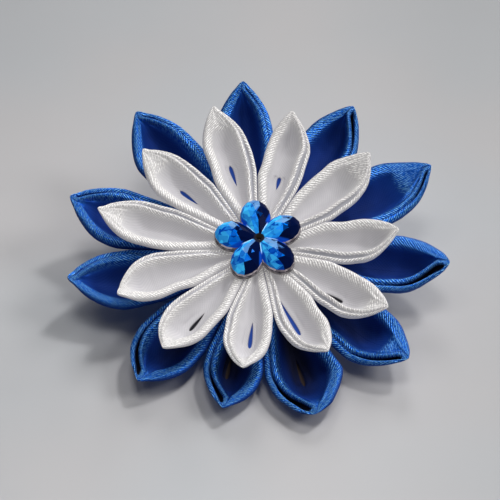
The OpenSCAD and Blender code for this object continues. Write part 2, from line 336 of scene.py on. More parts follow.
def half_angles(rows, i):
    """Half the angles from a petal to its neighbours on the left and on the right, in radians."""
    before, after = rows[i - 1], rows[(i + 1) % len(rows)]
    left = (before[HEADING] - rows[i][HEADING]) % 360 / 2
    right = (rows[i][HEADING] - after[HEADING]) % 360 / 2
    return math.radians(left), math.radians(right)


def room(r, half_angle):
    return r * math.tan(half_angle) - PETAL_GAP / 2 / math.cos(half_angle)


def blue_rim_z(r):
    share = (BLUE["reach"] - r) / (BLUE["reach"] - BLUE["root"])
    return BLUE["height"] * smooth_lookup(np.clip(share, 0, 1), RIM)


WHITE_KEEL_END = WHITE["reach"] - KEEL_FLAT * (WHITE["reach"] - WHITE["root"])


def seat_z(ring, r):
    if ring is BLUE:
        return np.zeros_like(r)
    return blue_rim_z(np.minimum(r, WHITE_KEEL_END)) + STACK_GAP


def lip_shape(hollow):
    """1 where the flat part turns down into the hollow, 0 elsewhere."""
    return np.exp(-((hollow - LIP_AT) / LIP_WIDTH) ** 2)


class Petal:
    """A petal's measures at its stations from tip to root, in millimetres."""

    def __init__(self, ring, i):
        self.ring = ring
        self.i = i
        self.row = ring["petals"][i]
        self.heading = math.radians(self.row[HEADING])
        tip_r = ring["reach"] * self.row[REACH]
        self.length = tip_r - ring["root"]
        self.u = FIRST_STATION + (1 - FIRST_STATION) * np.linspace(0, 1, STATIONS) ** TIP_DENSITY
        self.from_tip = self.u * self.length
        self.r = tip_r - self.from_tip
        self.near_tip = 1 - smooth_step(self.from_tip, *TIP_SPAN)
        self.nose = round_start(self.from_tip, self.row[TIP_ROUND])
        self.wave = sum(
            size * np.sin(2 * math.pi * (turns * self.u + shift * i))
            for size, turns, shift in WAVES
        )
        self.set_widths()
        self.set_heights()
        self.set_rims()
        self.set_slit()

    def set_widths(self):
        """Widths of the left and right sides, which keep to the room between their neighbours."""
        blunt = max(self.row[TIP_ROUND] - POINTED, 0) * BLUNT
        widened = blunt * np.exp(-self.from_tip / BLUNT_FADE)
        half = self.ring["half"] * smooth_lookup(self.u + widened / self.length, HALF) * self.nose
        pressed = smooth_step(self.u, *self.ring["pressed"])
        softness = TIP_SOFTNESS + ROOM_SOFTNESS * self.nose
        widths = []
        angles = half_angles(self.ring["petals"], self.i)
        for share, sign, angle in zip((self.row[LEFT], self.row[RIGHT]), (1, -1), angles):
            width = half * (share + (ROOT_SHARE - share) * pressed) * (1 + sign * self.wave)
            widths.append(soft_min(width, room(self.r, angle), softness))
        self.left, self.right = widths

    def set_heights(self):
        """Heights of the keel, of the rims and of the hollow's floor."""
        fade = np.maximum(0, 1 - self.u / HEIGHT_FADE)
        height = self.ring["height"] * (1 + (self.row[HEIGHT] - 1) * fade)
        base = seat_z(self.ring, self.r)
        keel = base + height * smooth_lookup(self.u, KEEL)
        waved = 1 + RIM_WAVE * self.wave * (1 - self.near_tip)
        rim = base + height * smooth_lookup(self.u, RIM) * waved
        middle = rim - NOSE_UP * (rim - keel)
        self.rim = middle + (rim - middle) * self.nose
        self.keel = middle + (keel - middle) * self.nose
        end = self.row[HOLLOW_AT]
        self.lipped = smooth_step(end, *LIP_FROM)
        start = (HOLLOW_START - LIP_START * self.lipped) * end
        length = max(HOLLOW_LENGTH * end, LEAST_HOLLOW)
        self.hollow = smooth_step(self.from_tip, start, start + length)
        flat = FLAT_DEPTH + LIP_DEPTH * self.lipped * (1 - LIP_RISE * lip_shape(self.hollow))
        depth = smooth_lookup(self.u, DEPTH) * (flat + (1 - flat) * self.hollow)
        self.floor = self.rim - depth * np.maximum(self.rim - self.keel - CLOTH, LEAST_BOWL)

    def set_rims(self):
        """Width of the broad rim, then the thin rims and the pocket between them."""
        ring, nose, wall = self.ring, self.nose, self.rim - self.keel
        broad = ring["rim"] * smooth_lookup(self.u, ROLL)
        self.broad = soft_min(broad, RIM_SHARE * self.left, RIM_SOFTNESS * nose)
        pocket = self.row[POCKET] * smooth_lookup(self.u, ring["opening"])
        pocket *= round_start(np.maximum(self.from_tip - POCKET_END, 0), POCKET_NOSE)
        at_tip = TIP_SHARE * (self.left + self.right)
        limit = self.near_tip * at_tip + (1 - self.near_tip) * RIM_SHARE * self.right
        fit = soft_min(1, limit / (2 * ring["edge"] + pocket), FIT_SOFTNESS)
        self.edge = ring["edge"] * fit
        self.pocket = pocket * fit
        self.openness = np.clip(self.pocket / POCKET_FULL, 0, 1)
        deep = (CREASE + (ring["pocket_depth"] - CREASE) * self.openness) * nose
        self.deep = np.minimum(deep, DEEPEST_POCKET * wall)
        drop = (ring["drop"] + (ring["tip_drop"] - ring["drop"]) * self.near_tip) * fit * nose
        self.drop = np.minimum(drop, LARGEST_DROP * wall)

    def set_slit(self):
        """Place of the hollow's lowest line, half width of the slit there, and depth of its cut."""
        inner_left = self.left - self.broad
        inner_right = self.right - 2 * self.edge - self.pocket
        aside = smooth_step(self.from_tip, *ASIDE_FROM) * (1 - smooth_step(self.u, *ASIDE_TO))
        self.centre = self.near_tip * (inner_left - inner_right) / 2 + aside * self.row[SLIT_SIDE]
        opening = self.slit_opening()
        self.open_slit = np.clip(opening / SLIT_FULL, 0, 1)
        self.cut = SLIT_CUT * CLOTH * self.open_slit + GROOVE
        self.slit = opening + GROOVE

    def slit_opening(self):
        """Half width of the slit: blunt towards the tip, tapering to the root."""
        if not self.row[SLIT_LENGTH]:
            return np.zeros_like(self.u)
        along = (self.from_tip - self.row[SLIT_AT]) / self.row[SLIT_LENGTH]
        inside = (along > 0) & (along < 1)
        taper = np.sin(math.pi * np.clip(along, 0, 1) ** SLIT_BLUNT) ** SLIT_ROUND
        return np.where(inside, self.ring["slit"] / 2 * taper, 0)

    def left_points(self):
        """Left side of the sections: up the outside, over the broad rolled rim, down the hollow."""
        w, keel, rim, floor_z, broad = self.left, self.keel, self.rim, self.floor, self.broad
        centre, slit, cut = self.centre, self.slit, self.cut
        wall, bowl = rim - keel, rim - floor_z
        out, inner = w - centre, w - broad - centre
        shoulder = np.minimum(0.12 * broad, 0.3 * bowl)
        return [
            (centre, keel),
            (centre + 0.48 * out, keel + 0.15 * wall),
            (centre + 0.8 * out, keel + 0.45 * wall),
            (centre + 0.95 * out, keel + 0.7 * wall),
            (w, rim - np.minimum(0.5 * broad, 0.6 * wall)),
            (w - 0.08 * broad, rim - np.minimum(0.2 * broad, 0.3 * wall)),
            (w - 0.3 * broad, rim - 0.03 * broad),
            (w - 0.52 * broad, rim),
            (w - 0.8 * broad, rim - shoulder),
            (centre + 0.92 * inner, floor_z + 0.82 * bowl),
            (centre + 0.72 * inner, floor_z + 0.46 * bowl),
            (centre + 0.45 * inner, floor_z + 0.16 * bowl),
            (centre + 0.18 * inner + slit, floor_z + 0.02 * bowl),
            (centre + slit, floor_z),
            (centre, floor_z - cut),
        ]

    def right_points(self):
        """Right side: up the hollow, over two thin rims with the pocket between them, and down."""
        w, keel, rim, floor_z, edge = self.right, self.keel, self.rim, self.floor, self.edge
        centre, slit, cut, deep, drop = self.centre, self.slit, self.cut, self.deep, self.drop
        pocket = self.pocket
        wall, bowl = rim - keel, rim - floor_z
        inner = w - 2 * edge - pocket
        outer = w - edge
        low = rim - drop
        span, out = centre + inner, centre + w
        shoulder = np.minimum(0.3 * edge, 0.5 * bowl)
        groove = np.minimum(0.45 * edge, deep)
        return [
            (centre, floor_z - cut),
            (centre - slit, floor_z),
            (centre - 0.18 * span - slit, floor_z + 0.02 * bowl),
            (centre - 0.45 * span, floor_z + 0.16 * bowl),
            (centre - 0.72 * span, floor_z + 0.46 * bowl),
            (centre - 0.93 * span, rim - np.minimum(0.9 * edge, 0.8 * bowl)),
            (-inner - 0.06 * edge, rim - shoulder),
            (-inner - 0.25 * edge, rim - 0.17 * shoulder),
            (-inner - 0.5 * edge, rim),
            (-inner - 0.78 * edge, rim - 0.27 * groove),
            (-inner - 0.98 * edge, rim - groove),
            (-inner - edge - 0.05 * pocket, rim - np.maximum(0.6 * deep, groove)),
            (-outer + 0.35 * pocket, rim - deep),
            (-outer + 0.08 * pocket, low - np.minimum(0.55 * edge, 0.5 * deep)),
            (-outer - 0.2 * edge, low - np.minimum(0.1 * edge, 0.2 * deep)),
            (-outer - 0.5 * edge, low),
            (-outer - 0.85 * edge, low - np.minimum(0.15 * edge, 0.2 * wall)),
            (-w, low - np.minimum(0.5 * edge, 0.5 * wall)),
            (centre - 0.99 * out, keel + 0.7 * (wall - drop)),
            (centre - 0.88 * out, keel + 0.4 * (wall - drop)),
            (centre - 0.52 * out, keel + 0.12 * (wall - drop)),
            (centre, keel),
        ]

    def place(self, section_points):
        """Places in the flower's frame of the curves through the sections' points."""
        swing = self.row[SWING] * self.ring["half"] * np.maximum(0, 1 - self.u / SWING_FADE) ** 2
        ahead = np.array([math.cos(self.heading), math.sin(self.heading), 0])
        aside = np.array([-math.sin(self.heading), math.cos(self.heading), 0])
        up = np.array([0, 0, 1])
        curve = open_curve(np.stack([np.stack(q, axis=1) for q in section_points], axis=1))
        across = curve[..., 0] + swing[:, None]
        return self.r[:, None, None] * ahead + across[..., None] * aside + curve[..., 1:2] * up

    def half(self, side):
        """One side's places, distances along and around in its cloth, ribs, painted-shade depth,
        slit.
        """
        place = self.place(side["points"](self))
        crest = side["crest"] * RING_STEPS
        around = distances(place, 1)
        around -= around[:, crest][:, None]
        along = np.broadcast_to(distances(place[:, crest], 0)[:, None], around.shape)
        in_slit = np.zeros_like(around)
        in_slit[:, side["in_slit"]] = self.open_slit[:, None]
        ribs, deep = self.cloth_values(side)
        return place, along, around, refine(ribs), refine(deep), in_slit

    def cloth_values(self, side):
        """Strength of the ribs, which brings painted sheen and glints, and depth at a side's
        corners,
        which sets painted shade: 1 in the hollow, 2 in the pocket.
        """
        ribs = np.repeat(np.array(side["ribs"], float)[None], STATIONS, axis=0)
        deep = np.repeat(np.array(side["deep"], float)[None], STATIONS, axis=0)
        flat_ribs = self.ring["tip_ribs"] * (1 - smooth_step(self.hollow, *TIP_RIBS_FADE))
        # A lip gets full ribs, and with them painted glints along it
        tip_ribs = np.maximum(flat_ribs, lip_shape(self.hollow) * self.lipped)
        # Painted shade in the hollow, darker at the front of the flower and under the upper ring
        front_shade_factor = 1 + self.ring["front_painted_shade"] * max(0, -math.sin(self.heading)) ** 2
        root_shade_factor = 1 + self.ring["root_painted_shade"] * smooth_step(self.u, *UNDER_WHITE)
        inside, pocket = side["inside"], side["pocket"]
        ribs[:, inside] = np.maximum(ribs[:, inside], tip_ribs[:, None])
        painted_hollow_shade = self.hollow * smooth_lookup(self.u, DEPTH) * front_shade_factor * root_shade_factor
        deep[:, inside] *= painted_hollow_shade[:, None]
        deep[:, pocket] *= self.openness[:, None]
        closed = CLOSED_RIBS * (1 - self.openness[:, None])
        ribs[:, pocket] = np.maximum(ribs[:, pocket], closed)
        return ribs, deep


# The two sides of a section: the corner on the rim's crest, the corners in the hollow and in the
# pocket, the ribs' strength, which also brings painted sheen and glints, and the depth in a hollow,
# which sets painted shade in hollows, in pockets and down the outer walls, at each corner, and the
# points in the slit
LEFT_SIDE = {
    "points": Petal.left_points,
    "crest": 7,
    "inside": slice(8, None),
    "pocket": slice(0, 0),
    "ribs": [0.3, 0.3, 0.3, 0.3, 0.2, 0.3, 0.75, 1, 1, 0.5, 0.1, 0, 0, 0, 0],
    "deep": [0.8, 0.8, 0.8, 0.85, 0.85, 0.6, 0.15, 0, 0, 0.3, 0.7, 0.9, 1, 1, 1],
    "in_slit": slice(1 - RING_STEPS, None),
}
RIGHT_SIDE = {
    "points": Petal.right_points,
    "crest": 8,
    "inside": slice(0, 7),
    "pocket": slice(10, 13),
    "ribs": [
        0, 0, 0, 0, 0.1, 0.5, 0.9, 1, 1, 0.9, 0.7,
        0.2, 0, 0.4, 0.9, 1, 0.8, 0.45, 0.35, 0.35, 0.35, 0.35,
    ],
    "deep": [
        1, 1, 1, 0.9, 0.7, 0.3, 0, 0, 0, 0, 1.2,
        2, 2, 1.5, 0, 0, 0.15, 0.7, 0.8, 0.8, 0.8, 0.8,
    ],
    "in_slit": slice(0, RING_STEPS - 1),
}
# The right side's corner in the pocket at which the hollow's weave ends
WEAVE_SWITCH = 12


def petal_mesh(name, ring, i):
    """One closed petal, whose two halves meet along the keel and along the bottom of the hollow."""
    petal = Petal(ring, i)
    halves = [petal.half(side) for side in (LEFT_SIDE, RIGHT_SIDE)]
    middle = halves[0][0].shape[1]
    place, along, around, ribs, deep, slit = (np.concatenate(pair, axis=1) for pair in zip(*halves))
    count = place.shape[1]
    weave = np.stack([along, around], axis=-1)
    weave[:, middle:, 1] *= -1
    # Inside the hollow the left half's weave runs on into the right half, as far as the pocket
    inner_weave = weave.copy()
    inner_weave[:, middle:, 0] = along[:, :1]
    left_end, right_start = around[:, middle - 1:middle], around[:, middle:middle + 1]
    inner_weave[:, middle:, 1] = left_end + around[:, middle:] - right_start
    switch = middle + WEAVE_SWITCH * RING_STEPS
    # The halves share the bottom of the hollow and the keel
    kept = [column for column in range(count) if column not in (middle, count - 1)]
    number = np.zeros(count, int)
    number[kept] = range(len(kept))
    number[middle] = number[middle - 1]
    corner = number + len(kept) * np.arange(STATIONS)[:, None]
    faces, weaves = [], []
    strips = [j for j in range(count - 1) if j != middle - 1]
    for k in range(STATIONS - 1):
        for j in strips:
            table = inner_weave if middle <= j < switch else weave
            quad = ((k, j), (k + 1, j), (k + 1, j + 1), (k, j + 1))
            faces.append([int(corner[at]) for at in quad])
            weaves += [table[at] for at in quad]
    for k, columns in ((0, kept), (STATIONS - 1, kept[::-1])):
        faces.append([int(v) for v in corner[k, columns]])
        weaves += list(weave[k, columns])
    lit_slit = slit * (i + 1 in ring["lit_slits"])
    values = {"ribs": ribs, "deep": deep, "slit": slit, "lit_slit": lit_slit}
    values = {key: value[:, kept].ravel() for key, value in values.items()}
    return finish_mesh(name, place[:, kept].reshape(-1, 3), faces, weaves, values)


def finish_mesh(name, points, faces, weaves, values):
    """A smooth piece on the clip, with its weave as a UV map and its cloth's values."""
    mesh = bpy.data.meshes.new(name)
    mesh.from_pydata((on_clip(points) * MM).tolist(), [], faces)
    mesh.update()
    weave = mesh.uv_layers.new(name="weave")
    weave.data.foreach_set("uv", np.array(weaves, np.float32).ravel())
    for key, value in values.items():
        layer = mesh.attributes.new(key, "FLOAT", "POINT")
        layer.data.foreach_set("value", value.astype(np.float32))
    mesh.shade_smooth()
    mesh.set_sharp_from_angle(angle=SHARP_ANGLE)
    return add_object(name, mesh)


def add_object(name, data):
    new = bpy.data.objects.new(name, data)
    bpy.context.scene.collection.objects.link(new)
    return new


# Place of the flower on the clip

def front_drop():
    """How far the lowest blue keel reaches under the flower's centre."""
    drops = []
    for p in BLUE["petals"]:
        tip_r = BLUE["reach"] * p[REACH]
        for s in SECTIONS:
            r = tip_r - s[FROM_TIP] * (tip_r - BLUE["root"])
            height = BLUE["height"] * (1 + (p[HEIGHT] - 1) * max(0, 1 - s[FROM_TIP] / HEIGHT_FADE))
            ahead = r * math.sin(math.radians(p[HEADING]))
            drops.append(-ahead * math.sin(LEAN) - height * s[KEEL] * math.cos(LEAN))
    return max(drops)


FLOWER_Z = front_drop() + TABLE_GAP
LEAF_MEET_Y = -LEAF_L / 2 - MOUTH_GAP / math.tan(LEAN)
LEAF_TOP_Z = CLIP_T + (CLIP_T + GLUE_GAP) / math.cos(LEAN)
FLOWER_Y = LEAF_MEET_Y + (FLOWER_Z - LEAF_TOP_Z) / math.tan(LEAN)


def on_clip(points):
    """From the flower's frame to the hairpin's, in millimetres."""
    p = np.asarray(points, float)
    y = p[..., 1] * math.cos(LEAN) - p[..., 2] * math.sin(LEAN) + FLOWER_Y
    z = p[..., 1] * math.sin(LEAN) + p[..., 2] * math.cos(LEAN) + FLOWER_Z
    return np.stack([p[..., 0], y, z], axis=-1)


# Materials

class Nodes:
    """Short calls to add and join a material's nodes."""

    def __init__(self, name):
        self.material = bpy.data.materials.new(name)
        self.material.use_nodes = True
        self.tree = self.material.node_tree
        self.shader = self.tree.nodes["Principled BSDF"]

    def add(self, kind, inputs=None, **options):
        node = self.tree.nodes.new("ShaderNode" + kind)
        for key, value in options.items():
            setattr(node, key, value)
        for key, value in (inputs or {}).items():
            self.put(node, key, value)
        return node

    def put(self, node, key, value):
        if isinstance(value, bpy.types.NodeSocket):
            self.tree.links.new(value, node.inputs[key])
        else:
            node.inputs[key].default_value = value

    def set(self, **values):
        for key, value in values.items():
            self.put(self.shader, key.replace("_", " "), value)

    def attribute(self, name):
        return self.add("Attribute", attribute_name=name).outputs["Fac"]

    def place(self):
        return self.add("TexCoord").outputs["Object"]

    def normal(self):
        return self.add("NewGeometry").outputs["True Normal"]

    def axes(self, vector):
        return self.add("SeparateXYZ", {"Vector": vector}).outputs

    def noise(self, vector, scale, detail):
        inputs = {"Vector": vector, "Scale": scale, "Detail": detail}
        return self.add("TexNoise", inputs).outputs["Fac"]

    def math(self, operation, a, b=0.0):
        return self.add("Math", {0: a, 1: b}, operation=operation).outputs[0]

    def plus(self, a, b):
        return self.math("ADD", a, b)

    def times(self, product, *factors):
        for factor in factors:
            product = self.math("MULTIPLY", product, factor)
        return product

    def length(self, x, y):
        return self.math("SQRT", self.plus(self.times(x, x), self.times(y, y)))

    def dot(self, vector, direction):
        node = self.add("VectorMath", {0: vector, 1: direction}, operation="DOT_PRODUCT")
        return node.outputs["Value"]

    def ramp(self, value, low, high, out_low=0.0, out_high=1.0):
        inputs = {
            "Value": value,
            "From Min": low,
            "From Max": high,
            "To Min": out_low,
            "To Max": out_high,
        }
        return self.add("MapRange", inputs, interpolation_type="SMOOTHSTEP").outputs["Result"]

    def fall(self, value, low, high):
        """1 up to low and 0 from high on."""
        return self.ramp(value, low, high, 1.0, 0.0)

    def wave(self, value, pitch):
        """A sine from 0 to 1 that repeats every pitch."""
        sine = self.math("SINE", self.times(value, 2 * math.pi / pitch))
        return self.plus(self.times(sine, 0.5), 0.5)

    def mix(self, factor, a, b):
        node = self.add("Mix", {"Factor": factor}, data_type="RGBA")
        self.put(node, "A", a)
        self.put(node, "B", b)
        return node.outputs["Result"]

    def paint(self, base, *coats):
        """Coats of tone over a base, each with its factor."""
        for factor, tone in coats:
            base = self.mix(factor, base, tone)
        return base

    def bump(self, height, distance, strength):
        inputs = {"Height": height, "Distance": distance * MM, "Strength": strength}
        return self.add("Bump", inputs).outputs[0]


# In the cloth, in millimetres: pitches of the ribs and of the twill lines, length of a glint, and
# how far the ribs stray
RIB_PITCH = 0.46
TWILL_PITCH = 0.45
DASH_LENGTH = 0.5
RIB_BEND = 0.35
COS_45 = 0.7071
# Sizes of the noises that bend the ribs and cloud the twill, per millimetre
BEND_SCALE = 0.9
CLOUD_SCALE = 0.35
# Spans over which a painted glint comes in along and across its rib, ribs show with their
# strength, the painted shade in the gaps between them fades out, the painted shade of the hollow
# and of the pocket comes in with the depth, and the shine goes
DASH_SPAN = (0.38, 0.56)
CREST_SPAN = (0.45, 0.95)
RIBBED_SPAN = (0.15, 0.95)
GAP_SPAN = (0.0, 0.35)
HOLLOW_SPAN = (0.05, 1.0)
POCKET_SPAN = (1.0, 1.8)
SHINE_SPAN = (0.0, 0.8)
# Roughness in a hollow, shares of the metallic and specular values there and of the metallic value
# in a glint, and shares of the ribs' lift away from the glints and away from the rims
HOLLOW_ROUGHNESS = 0.65
HOLLOW_METAL = 0.35
HOLLOW_SPECULAR = 0.4
GLINT_METAL = 0.3
DASH_LIFT = 0.6
FLAT_LIFT = 0.1
# Blue ribbon painted on the walls of a slit as if it showed through, the strength of its painted
# glow, and the tint of the painted glow on blue undersides, which throws blue into the shadows
BLUE_BELOW = (0.006, 0.045, 0.27, 1)
BLUE_BELOW_GLOW = 0.25
UNDER_GLOW_TINT = (0.02, 0.2, 1, 1)


def satin(
    name, pocket, hollow, body, rim, painted_glint, slit_shade, under_glow, glow,
    rib_depth, rib_gap_shade, twill, roughness, metallic, specular,
):
    """Satin ribbon on the bias: its ribs cross the folds at 45 degrees, with painted glints on the
    rims.

    The first six values are tones: painted shade for the pocket and the hollow, the body, a painted
    sheen for the rim, painted glints, and painted shade for a slit. The value for the gaps says how
    much painted shade lies in the lines between the ribs, twill how much the twill across them
    shows, and rib_depth is in millimetres. glow is a painted glow of the whole cloth, and
    under_glow a painted glow of its undersides that tints the shadows below them.
    """
    n = Nodes(name)
    weave = n.add("UVMap", uv_map="weave").outputs["UV"]
    ribs, deep = n.attribute("ribs"), n.attribute("deep")
    slit, lit_slit = n.attribute("slit"), n.attribute("lit_slit")
    split = n.axes(weave)
    along, around = split["X"], split["Y"]
    down_ribs = n.times(n.math("SUBTRACT", along, around), COS_45)
    across_ribs = n.times(n.plus(along, around), COS_45)
    across_ribs = n.plus(across_ribs, n.times(n.noise(weave, BEND_SCALE, 1.0), RIB_BEND))
    strand = n.wave(across_ribs, RIB_PITCH)
    cell = n.add("CombineXYZ", {
        "X": n.math("DIVIDE", across_ribs, RIB_PITCH),
        "Y": n.math("DIVIDE", down_ribs, DASH_LENGTH),
    }).outputs[0]
    dash = n.ramp(n.noise(cell, 1.0, 1.0), *DASH_SPAN)
    strength = n.ramp(ribs, *RIBBED_SPAN)
    # Painted glints on the crests of the ribs
    painted_glint_mask = n.times(n.ramp(strand, *CREST_SPAN), dash, strength)
    lines = n.times(n.wave(down_ribs, TWILL_PITCH), n.noise(weave, CLOUD_SCALE, 3.0), twill)
    # Painted light and shade: a painted sheen on the rims over the body, painted shade in the
    # hollow, twill lines in the glint's tone, painted shade between the ribs, painted glints,
    # painted shade in the pocket and in a slit, and the blue ribbon below painted into lit slits
    base = n.paint(
        n.mix(n.ramp(ribs, 0.0, 1.0), body, rim),
        (n.ramp(deep, *HOLLOW_SPAN), hollow),
        (lines, painted_glint),
        (n.times(strength, rib_gap_shade, n.fall(strand, *GAP_SPAN)), hollow),
        (painted_glint_mask, painted_glint),
        (n.ramp(deep, *POCKET_SPAN), pocket),
        (slit, slit_shade),
        (lit_slit, BLUE_BELOW),
    )
    lift = n.times(n.ramp(dash, 0, 1, DASH_LIFT, 1.0), n.ramp(ribs, 0, 1, FLAT_LIFT, 1.0), strand)
    shine = n.fall(deep, *SHINE_SPAN)
    n.set(Base_Color=base, Normal=n.bump(lift, rib_depth, 1.0))
    n.set(Roughness=n.ramp(shine, 0, 1, HOLLOW_ROUGHNESS, roughness))
    n.set(Specular_IOR_Level=n.times(n.ramp(shine, 0, 1, HOLLOW_SPECULAR, 1.0), specular))
    if metallic:
        in_glint = n.ramp(painted_glint_mask, 0.1, 0.8, 1.0, GLINT_METAL)
        n.set(Metallic=n.times(n.ramp(shine, 0, 1, HOLLOW_METAL, 1.0), in_glint, metallic))
    # Painted glows: blue undersides glow to tint the shadows below them, the whole cloth glows by
    # glow to lift its shade, and lit slits glow with the blue ribbon below
    underside_glow = n.times(n.fall(n.axes(n.normal())["Z"], -0.5, 0.0), under_glow)
    light = n.plus(n.ramp(lit_slit, 0, 1, glow, BLUE_BELOW_GLOW), underside_glow)
    n.set(Emission_Color=n.mix(n.ramp(underside_glow, 0, 0.02), base, UNDER_GLOW_TINT), Emission_Strength=light)
    return n.material


def steel(name):
    """Steel brushed along the strip."""
    n = Nodes(name)
    stretched = n.add("Mapping", {"Vector": n.place(), "Scale": (4000, 120, 4000)}).outputs[0]
    grain = n.noise(stretched, 1.0, 4.0)
    tone = n.mix(n.ramp(grain, 0.3, 0.7), (0.5, 0.51, 0.53, 1), (0.68, 0.69, 0.71, 1))
    n.set(Base_Color=tone, Metallic=1.0, Roughness=n.ramp(grain, 0.2, 0.8, 0.26, 0.4))
    n.set(Normal=n.bump(grain, 0.01, 0.6))
    return n.material


# The flower's own directions in the hairpin's frame
RIGHT_HAND = (1, 0, 0)
AWAY = (0, math.cos(LEAN), math.sin(LEAN))
UP = (0, -math.sin(LEAN), math.cos(LEAN))


def flower_axes(n):
    """Place, distances right and away from the flower's axis and from it, in metres."""
    place = n.place()
    centre = tuple(float(v) for v in on_clip([0, 0, 0]) * MM)
    offset = n.add("VectorMath", {0: place, 1: centre}, operation="SUBTRACT").outputs["Vector"]
    x, y = n.dot(offset, RIGHT_HAND), n.dot(offset, AWAY)
    return place, x, y, n.length(x, y)


def mm(*lengths):
    """Lengths in millimetres, in metres."""
    return tuple(length * MM for length in lengths)


# Distances from the gem's axis between which something begins or ends: the drop of glue, the
# ring of painted shade round it, the gem's hole with painted shade on its wall and its hub of
# painted shade, whose middle lies a little to the front, the painted highlights along the lines
# between the lobes, the web, and the silvered front walls
GLUE_END = mm(0.3, 0.5)
RING_END = mm(0.7, 0.9)
HOLE_END = mm(0.75, 0.85)
HUB_END = mm(1.0, 1.25)
HUB_FORWARD = 0.3 * MM
LINE_START = mm(1.2, 1.6)
LINE_END = mm(3.6, 4.4)
WEB_START = mm(3.2, 4.2)
WALL_START = mm(2, 3)


def foil(name):
    """Silvered backing with a faint painted glow, a ring of painted shade and a drop of brown glue,
    its tone lifted as painted light, that shows through the gem's hole.
    """
    n = Nodes(name)
    place, _, _, radius = flower_axes(n)
    dents = n.noise(place, 900.0, 2.0)
    # The foil's dents, a ring of painted shade round the glue, and the glue, lifted as painted
    # light
    tone = n.paint(
        n.mix(n.ramp(dents, 0.35, 0.65), (0.07, 0.065, 0.07, 1), (0.3, 0.27, 0.28, 1)),
        (n.fall(radius, *RING_END), (0.02, 0.02, 0.03, 1)),
        (n.fall(radius, *GLUE_END), (0.4, 0.3, 0.12, 1)),
    )
    n.set(Base_Color=tone, Metallic=0.2, Roughness=0.35, Normal=n.bump(dents, 0.05, 0.5))
    # A faint painted glow
    n.set(Emission_Color=tone, Emission_Strength=0.05)
    return n.material


LOBES = 5
FIRST_LOBE = math.radians(97.8)


def acrylic(name):
    """Foil-backed acrylic with painted light: azure glow facing left, painted dark facing right."""
    n = Nodes(name)
    place, x, y, radius = flower_axes(n)
    normal = n.normal()
    right, away, up = (n.dot(normal, direction) for direction in (RIGHT_HAND, AWAY, UP))
    cells = n.add("TexVoronoi", {"Vector": place, "Scale": 950.0}).outputs["Color"]
    cell = n.add("SeparateColor", {"Color": cells}).outputs
    right = n.plus(right, n.times(n.math("SUBTRACT", cell[0], 0.5), 0.08))
    # How light each facet and each spot in it is
    facet = n.ramp(n.noise(normal, 5.0, 0.0), 0.35, 0.65)
    inner = n.mix(0.5, facet, n.ramp(cell[2], 0.3, 0.7))
    painted_lit_azure = n.mix(inner, (0.0, 0.05, 0.4, 1), (0.05, 0.52, 1, 1))
    painted_reflection_lavender = n.mix(inner, (0.03, 0.12, 0.36, 1), (0.16, 0.32, 0.55, 1))
    blue = n.mix(inner, (0.0, 0.02, 0.2, 1), (0.0, 0.16, 0.75, 1))
    silver = n.mix(n.ramp(cell[1], 0.3, 0.7), (0.14, 0.12, 0.13, 1), (0.42, 0.37, 0.39, 1))
    # 1 along the middle of a lobe and -1 halfway between two lobes
    turned = n.math("SUBTRACT", n.math("ARCTAN2", y, x), FIRST_LOBE)
    between = n.math("COSINE", n.times(turned, LOBES))
    # Painted highlights along the lines between the lobes
    line_highlight = n.times(n.ramp(between, -0.994, -0.978, 0.9, 0.0), n.ramp(radius, *LINE_START))
    line_highlight = n.times(line_highlight, n.fall(radius, *LINE_END))
    web = n.times(n.fall(between, -0.9, -0.7), n.ramp(radius, *WEB_START))
    # Painted shade on the hub and on the hole's wall
    hub_shade = n.fall(n.length(x, n.plus(y, HUB_FORWARD)), *HUB_END)
    hole_wall_shade = n.times(n.fall(radius, *HOLE_END), n.fall(up, 0.3, 0.5))
    front_wall = n.times(n.fall(up, 0.1, 0.25), n.fall(away, -0.3, -0.1))
    front_wall = n.times(front_wall, n.ramp(radius, *WALL_START))
    # Painted light and shade by the way a facet faces: lit azure or blue, a painted reflection in
    # lavender, painted shade where it tilts away from up or faces right; then the painted
    # highlights of the lines, the web, the painted shade of the hub and the hole's wall, and the
    # walls' silver
    faces_away = n.times(n.ramp(away, 0.08, 0.2), n.ramp(right, -0.25, -0.1))
    tone = n.paint(
        n.mix(n.fall(right, -0.3, 0.05), blue, painted_lit_azure),
        (faces_away, painted_reflection_lavender),
        (n.ramp(up, 0.3, 0.6, 0.8, 0.0), (0.0, 0.03, 0.26, 1)),
        (n.ramp(right, 0.12, 0.16), (0.001, 0.004, 0.03, 1)),
        (line_highlight, (0.5, 0.75, 1, 1)),
        (web, (0.004, 0.06, 0.42, 1)),
        (hub_shade, (0.012, 0.012, 0.02, 1)),
        (hole_wall_shade, (0.03, 0.024, 0.018, 1)),
        (front_wall, silver),
    )
    # The painted tones also glow, as painted light
    n.set(Base_Color=tone, Emission_Color=tone, Emission_Strength=0.4)
    n.set(Specular_IOR_Level=0.01, Roughness=0.1)
    return n.material


